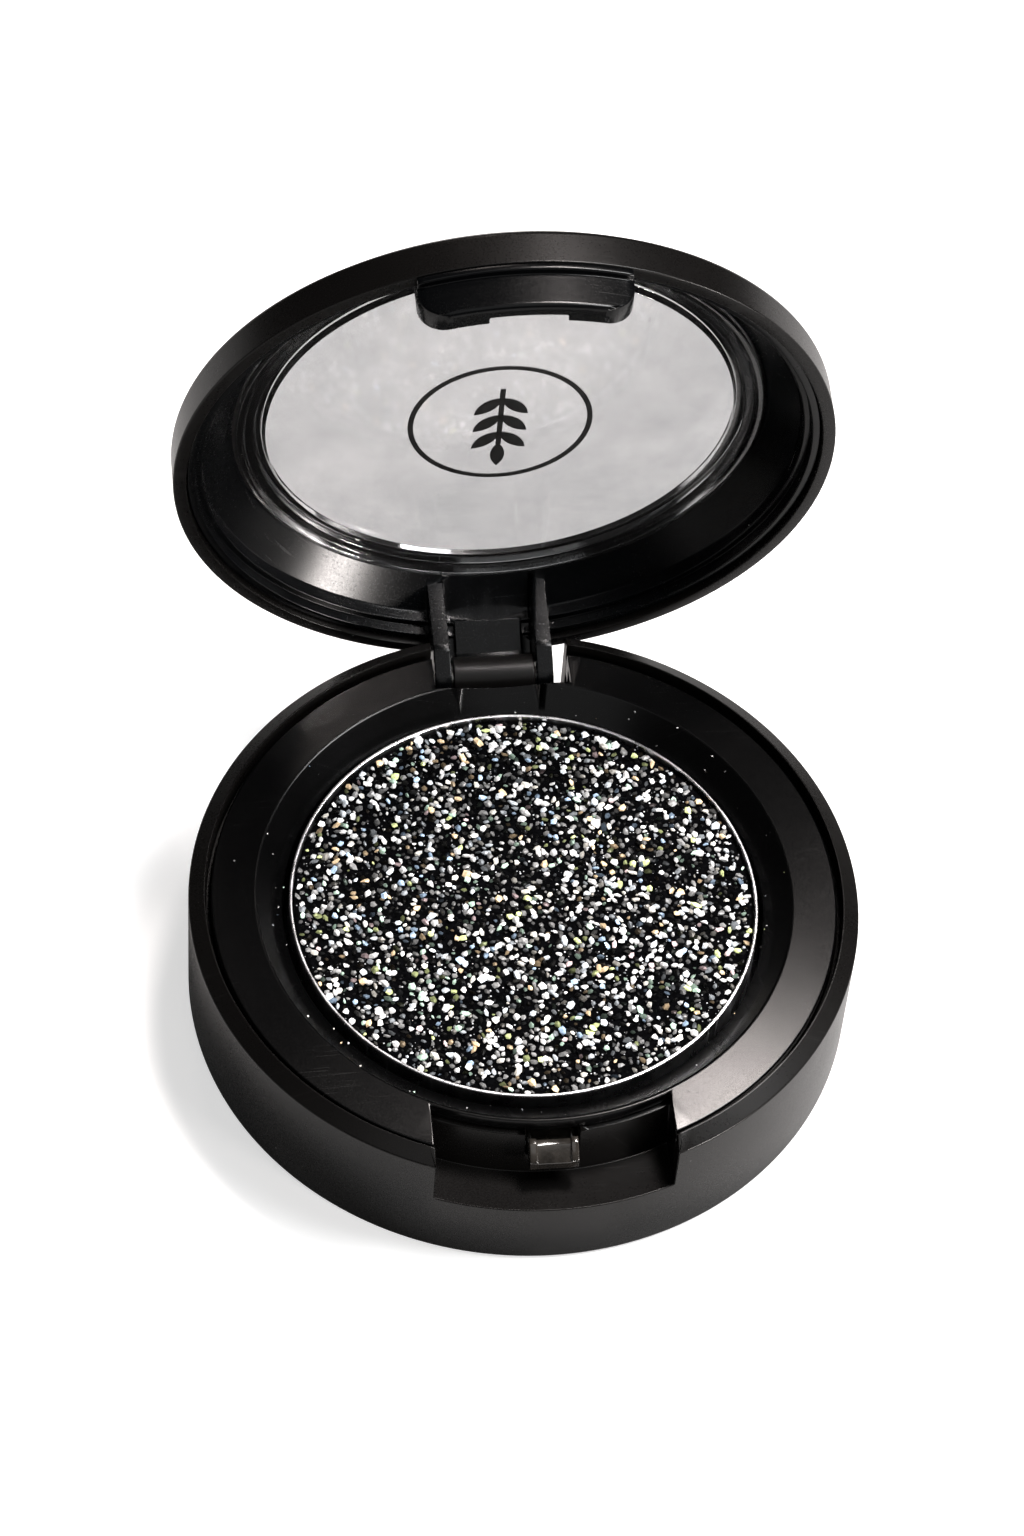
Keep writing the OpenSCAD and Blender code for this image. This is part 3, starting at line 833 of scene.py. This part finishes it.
rim_face = rounded([(lid_in_r, shoulder_z, 0), (lid_in_r, split_z, 0.07), (lid_r, split_z, 0.09),
                    (lid_r, shoulder_z, 0)], closed=False)[1:-1]
lid_ring = spun([*rim_face, *arc((lid_r - shoulder_round, shoulder_z), shoulder_round, 90, 50, 5),
                 *arc(dome, dome_r, 42.3, dome_start + 0.6, 24),
                 *rounded([(window_r + 1, lid_top, 0), (window_r, lid_top, 0.1),
                           (window_r, seat_z, 0)])[1:],
                 Vector((flange_r + 0.05, seat_z)), *arc(dome, dome_r - dome_t, 23.5, 38, 8),
                 Vector((lid_in_r, shoulder_z + 0.05))], closed=True)
bmesh.ops.transform(lid_ring, verts=lid_ring.verts, matrix=opened)
lid_shell = finished("lid_shell_moulding", lid_ring, body="lid")
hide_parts("lid_shell")
lid_shell.data.materials.append(shell_plastic)


# ---------------------------------------------------------------------------------------
# Lid liner: the inner ring that clamps the window in the shell, in a slightly glossier black.
# The two hinge lugs, the pad between them and the thumb tab with its lip are part of it.

liner_r = lid_in_r - 0.05
liner_z = split_z + 0.35
lug_t = 0.95
lug_x = 2.5
lug_front = 15.2
lug_back = pin_y + 1.2
lug_top = liner_z + 2.7
step_top = liner_z + 1.35
pad_w = 3.9
pad_z = 7.6
pad_t = 0.8
pad_rise = 0.2
pad_front = 15.86
pad_top = 9.8
tab_w = 11.5
tab_tip_z = 6.05
tab_r = 18.1
tab_t = 1.3
tab_step = 0.5
tab_slot_w = 4.2
tab_lip = 0.45
tab_corner = 1.8
tab_root_z = liner_z + 0.5
tab_slot_z = catch_top + 0.6

liner = spun([*rounded([(liner_r, step_top, 0), (liner_r, liner_z, 0.08),
                        (liner_r - 0.5, liner_z, 0.08),
                        (liner_r - 0.5, liner_z + 0.65, 0.06), (liner_r - 0.9, liner_z + 0.65, 0.1),
                        (liner_r - 0.9, step_top, 0.3), (flange_r + 0.15, flange_z + 0.1, 0.1),
                        (flange_r + 0.6, flange_z + 0.6, 0)], closed=False)[1:-1],
              *arc(dome, dome_r - dome_t - 0.05, 23.5, 37.5, 8),
              Vector((liner_r, split_z + 1.8))], closed=True)


def lug(first):
    """One hinge lug, from the liner down to an eye round the pin."""
    side = rounded([(lug_front, lug_top, 0), (lug_front, pin_z + 1, 1.2),
                    (pin_y - knuckle_r + 0.1, pin_z - 0.5, 0),
                    (pin_y + knuckle_r - 0.1, pin_z - 0.5, 0),
                    (lug_back, pin_z, 0), (lug_back, split_z - 0.05, 0.2),
                    (lug_back - 1.1, split_z - 0.05, 0), (lug_back - 1.1, step_top, 0)])
    arm = plate(side, first, first + lug_t)
    return combined(arm, rod(knuckle_r, first, first + lug_t), "UNION")


def pad_side(dip, top):
    """Side view of the plate between the lugs, with its front set back by a depth."""
    back = lug_back - 0.1
    front = back - pad_t + 0.1 + dip
    lean = (front - pad_front - dip) / (lug_top - 0.3 - pad_z - pad_t / 2)
    upper = front - lean * (top - pad_z - pad_t / 2)
    return rounded([(upper, top, 0), (front, pad_z + pad_t / 2, 0.3),
                    (front, pad_z, 0.1), (back, pad_z, 0.1), (back, top, 0)])


arms = combined(lug(lug_x), lug(-lug_x - lug_t), "UNION")
arms = combined(arms, plate(pad_side(pad_rise, lug_top - 0.3), -lug_x - 0.05, lug_x + 0.05),
                "UNION")
arms = combined(arms, plate(pad_side(0, pad_top), -pad_w / 2, pad_w / 2), "UNION")
room_for_arms = spun([(0, 0), (base_r - 0.15, 0), (base_r - 0.15, split_z - 0.05),
                      (liner_r - 0.02, split_z - 0.05), (liner_r - 0.02, lid_top), (0, lid_top)])
arms = combined(arms, room_for_arms, "INTERSECT")
liner = combined(liner, arms, "UNION")

tab = spun(rounded([(tab_r - tab_t, tab_root_z, 0), (tab_r - tab_t, tab_tip_z, 0.15),
                    (tab_r, tab_tip_z, 0.3), (tab_r, split_z - tab_lip, 0.08),
                    (lid_r, split_z - tab_lip, 0.12), (lid_r, split_z - 0.05, 0),
                    (liner_r - 0.02, split_z - 0.05, 0), (liner_r - 0.02, tab_root_z, 0)]),
           closed=True)
tab_outline = rounded([(-tab_w / 2, tab_root_z + 1, 0), (-tab_w / 2, tab_tip_z, tab_corner),
                       (tab_w / 2, tab_tip_z, tab_corner), (tab_w / 2, tab_root_z + 1, 0)],
                      steps=10)
quarter = Matrix.Rotation(-math.pi / 2, 4, "Z")
tab = combined(tab, plate(tab_outline, 12, base_r + 1, turn=quarter), "INTERSECT")
slot_ring = spun([(tab_r - tab_t - 1, tab_tip_z - 1), (tab_r - tab_t + tab_step, tab_tip_z - 1),
                  (tab_r - tab_t + tab_step, tab_slot_z), (tab_r - tab_t - 1, tab_slot_z)],
                 closed=True)
slot_ring = combined(slot_ring, block((-tab_slot_w / 2, -base_r, 0), (tab_slot_w / 2, 0, base_h)),
                     "INTERSECT")
tab = combined(tab, slot_ring, "DIFFERENCE")
liner = combined(liner, tab, "UNION")
liner = combined(liner, rod(pin_r + 0.05, -base_r, base_r), "DIFFERENCE")
bmesh.ops.transform(liner, verts=liner.verts, matrix=opened)
lid_liner = finished("lid_liner_moulding", liner, edge=0.07, body="lid", divide=True)
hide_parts("lid_liner")
lid_liner.data.materials.append(black_plastic(
    "semi_gloss_black_plastic", (0.0010, 0.0012, 0.0015), 0.24, 8000.0, 0.0000006, 0.26, 0.012))


# ---------------------------------------------------------------------------------------
# Window: a clear moulded disc with a flange, clamped between shell and liner. A faint haze,
# dust and hairlines lie on it, and its thick edge catches the light.

groove_r = 13.5
groove_deep = 0.3
bead_rise = 0.25
pane = spun(rounded([(0, flange_z, 0), (groove_r - 0.35, flange_z, 0.05),
                     (groove_r - 0.15, flange_z + groove_deep, 0.05),
                     (groove_r + 0.15, flange_z + groove_deep, 0.05),
                     (groove_r + 0.35, flange_z, 0.1),
                     (flange_r - 0.55, flange_z, 0.1), (flange_r - 0.35, flange_z - bead_rise, 0.1),
                     (flange_r, flange_z - bead_rise, 0.1), (flange_r, flange_z + flange_t, 0.12),
                     (window_r - 0.06, flange_z + flange_t, 0.05),
                     (window_r - 0.06, lid_top - 0.05, 0.12),
                     (0, lid_top - 0.05, 0)]))
bmesh.ops.transform(pane, verts=pane.verts, matrix=opened)
window = finished("window_pane", pane, body="lid")
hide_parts("window")

window_paint, tree, shader, place = finish_of("clear_hazy_plastic")
haze = add(tree, "ShaderNodeTexNoise", Vector=place, Scale=420.0, Detail=8.0, Roughness=0.68)
cloud = add(tree, "ShaderNodeTexNoise", Vector=place, Scale=52.0, Detail=3.0)
dust = used(tree, specks, Vector=place, Scale=1300.0, Amount=0.03, Size=0.16)
marks = used(tree, hairlines, Vector=place, Amount=0.7)
veil = worked(tree, "ADD", ranged(tree, haze.outputs[0], 0.3, 0.7, 0.0, 0.34),
              ranged(tree, cloud.outputs[0], 0.35, 0.65, 0.0, 0.34))
tint = add(tree, "ShaderNodeMix", {"data_type": "RGBA"})
tree.links.new(worked(tree, "ADD", veil, worked(tree, "MULTIPLY", dust.outputs[0], 0.5)),
               tint.inputs[0])
tint.inputs[6].default_value = (0.60, 0.60, 0.605, 1.0)
tint.inputs[7].default_value = (0.30, 0.31, 0.32, 1.0)
tree.links.new(tint.outputs[2], shader.inputs["Base Color"])
rough = worked(tree, "ADD", ranged(tree, haze.outputs[0], 0.3, 0.7, 0.03, 0.10),
               worked(tree, "MULTIPLY", marks.outputs[0], 0.15))
tree.links.new(rough, shader.inputs["Roughness"])
shader.inputs["Transmission Weight"].default_value = 1.0
shader.inputs["IOR"].default_value = 1.49
clear = tree.nodes.new("ShaderNodeBsdfTransparent")
clear.inputs["Color"].default_value = (0.88, 0.89, 0.90, 1.0)
ray = tree.nodes.new("ShaderNodeLightPath")
both = tree.nodes.new("ShaderNodeMixShader")
tree.links.new(ray.outputs["Is Shadow Ray"], both.inputs[0])
tree.links.new(shader.outputs[0], both.inputs[1])
tree.links.new(clear.outputs[0], both.inputs[2])
tree.links.new(both.outputs[0], tree.nodes["Material Output"].inputs["Surface"])
window.data.materials.append(window_paint)


# ---------------------------------------------------------------------------------------
# Window print: a plain ornament in black ink on the window's inner face, a thin ring round a
# sprig of seven leaves. It stands a few hundredths of a millimetre proud of the plastic.

ink_t = 0.05
ornament_r = 4.9
ornament_line = 0.3
stem_l = 6.2
leaf_l = 2.1
leaf_turn = math.radians(46)
ink_low = flange_z - ink_t


def flat_sheet(mesh, outline, place=Matrix.Identity(4)):
    """One inked patch: a flat outline, given thickness downwards from the window's face."""
    face = mesh.faces.new([mesh.verts.new(place @ Vector((x * MM, y * MM, ink_low * MM)))
                           for x, y in outline])
    top = bmesh.ops.extrude_face_region(mesh, geom=[face])["geom"]
    bmesh.ops.translate(mesh, verts=[item for item in top if isinstance(item, bmesh.types.BMVert)],
                        vec=(0, 0, (ink_t - 0.004) * MM))


def leaf_outline():
    """A pointed leaf along Y, between two arcs."""
    bow = leaf_l * 0.75
    aside = math.sqrt(bow ** 2 - leaf_l ** 2 / 4)
    reach = math.asin(leaf_l / 2 / bow)
    turns = [-reach + 2 * reach * step / 10 for step in range(10)]
    half = [(bow * math.cos(turn) - aside, leaf_l / 2 + bow * math.sin(turn)) for turn in turns]
    return half + [(-x, leaf_l - y) for x, y in half]


ink = spun([(ornament_r, ink_low), (ornament_r + ornament_line, ink_low),
            (ornament_r + ornament_line, ink_low + ink_t - 0.004),
            (ornament_r, ink_low + ink_t - 0.004)], closed=True)
sprig = bmesh.new()
flat_sheet(sprig, rounded([(-ornament_line / 2, -stem_l / 2, 0),
                           (ornament_line / 2, -stem_l / 2, 0),
                           (ornament_line / 2, stem_l / 2 - leaf_l / 2, 0),
                           (-ornament_line / 2, stem_l / 2 - leaf_l / 2, 0)]))
flat_sheet(sprig, leaf_outline(), Matrix.Translation((0, (stem_l / 2 - leaf_l / 2 - 0.1) * MM, 0)))
for step in range(3):
    for side in (-1, 1):
        foot = Matrix.Translation((0, ((step - 1.1) * leaf_l * 0.75 - leaf_l / 4) * MM, 0))
        flat_sheet(sprig, leaf_outline(), foot @ Matrix.Rotation(side * leaf_turn, 4, "Z"))
bmesh.ops.recalc_face_normals(sprig, faces=sprig.faces)
sprig_data = bpy.data.meshes.new("sprig")
sprig.to_mesh(sprig_data)
sprig.free()
ink.from_mesh(sprig_data)
bpy.data.meshes.remove(sprig_data)
bmesh.ops.transform(ink, verts=ink.verts, matrix=opened)
window_print = shape("window_ornament", ink)
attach(window_print, "lid")
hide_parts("window_print")

ink_paint, tree, shader, place = finish_of("black_screen_ink")
film = add(tree, "ShaderNodeTexNoise", Vector=place, Scale=4200.0, Detail=4.0)
ink_tint = add(tree, "ShaderNodeMix", {"data_type": "RGBA"})
tree.links.new(ranged(tree, film.outputs[0], 0.35, 0.7), ink_tint.inputs[0])
ink_tint.inputs[6].default_value = (0.006, 0.006, 0.006, 1.0)
ink_tint.inputs[7].default_value = (0.018, 0.018, 0.018, 1.0)
tree.links.new(ink_tint.outputs[2], shader.inputs["Base Color"])
tree.links.new(ranged(tree, film.outputs[0], 0.3, 0.7, 0.35, 0.55), shader.inputs["Roughness"])
bump = add(tree, "ShaderNodeBump", Strength=0.5, Distance=0.000003, Height=film.outputs[0])
tree.links.new(bump.outputs[0], shader.inputs["Normal"])
window_print.data.materials.append(ink_paint)
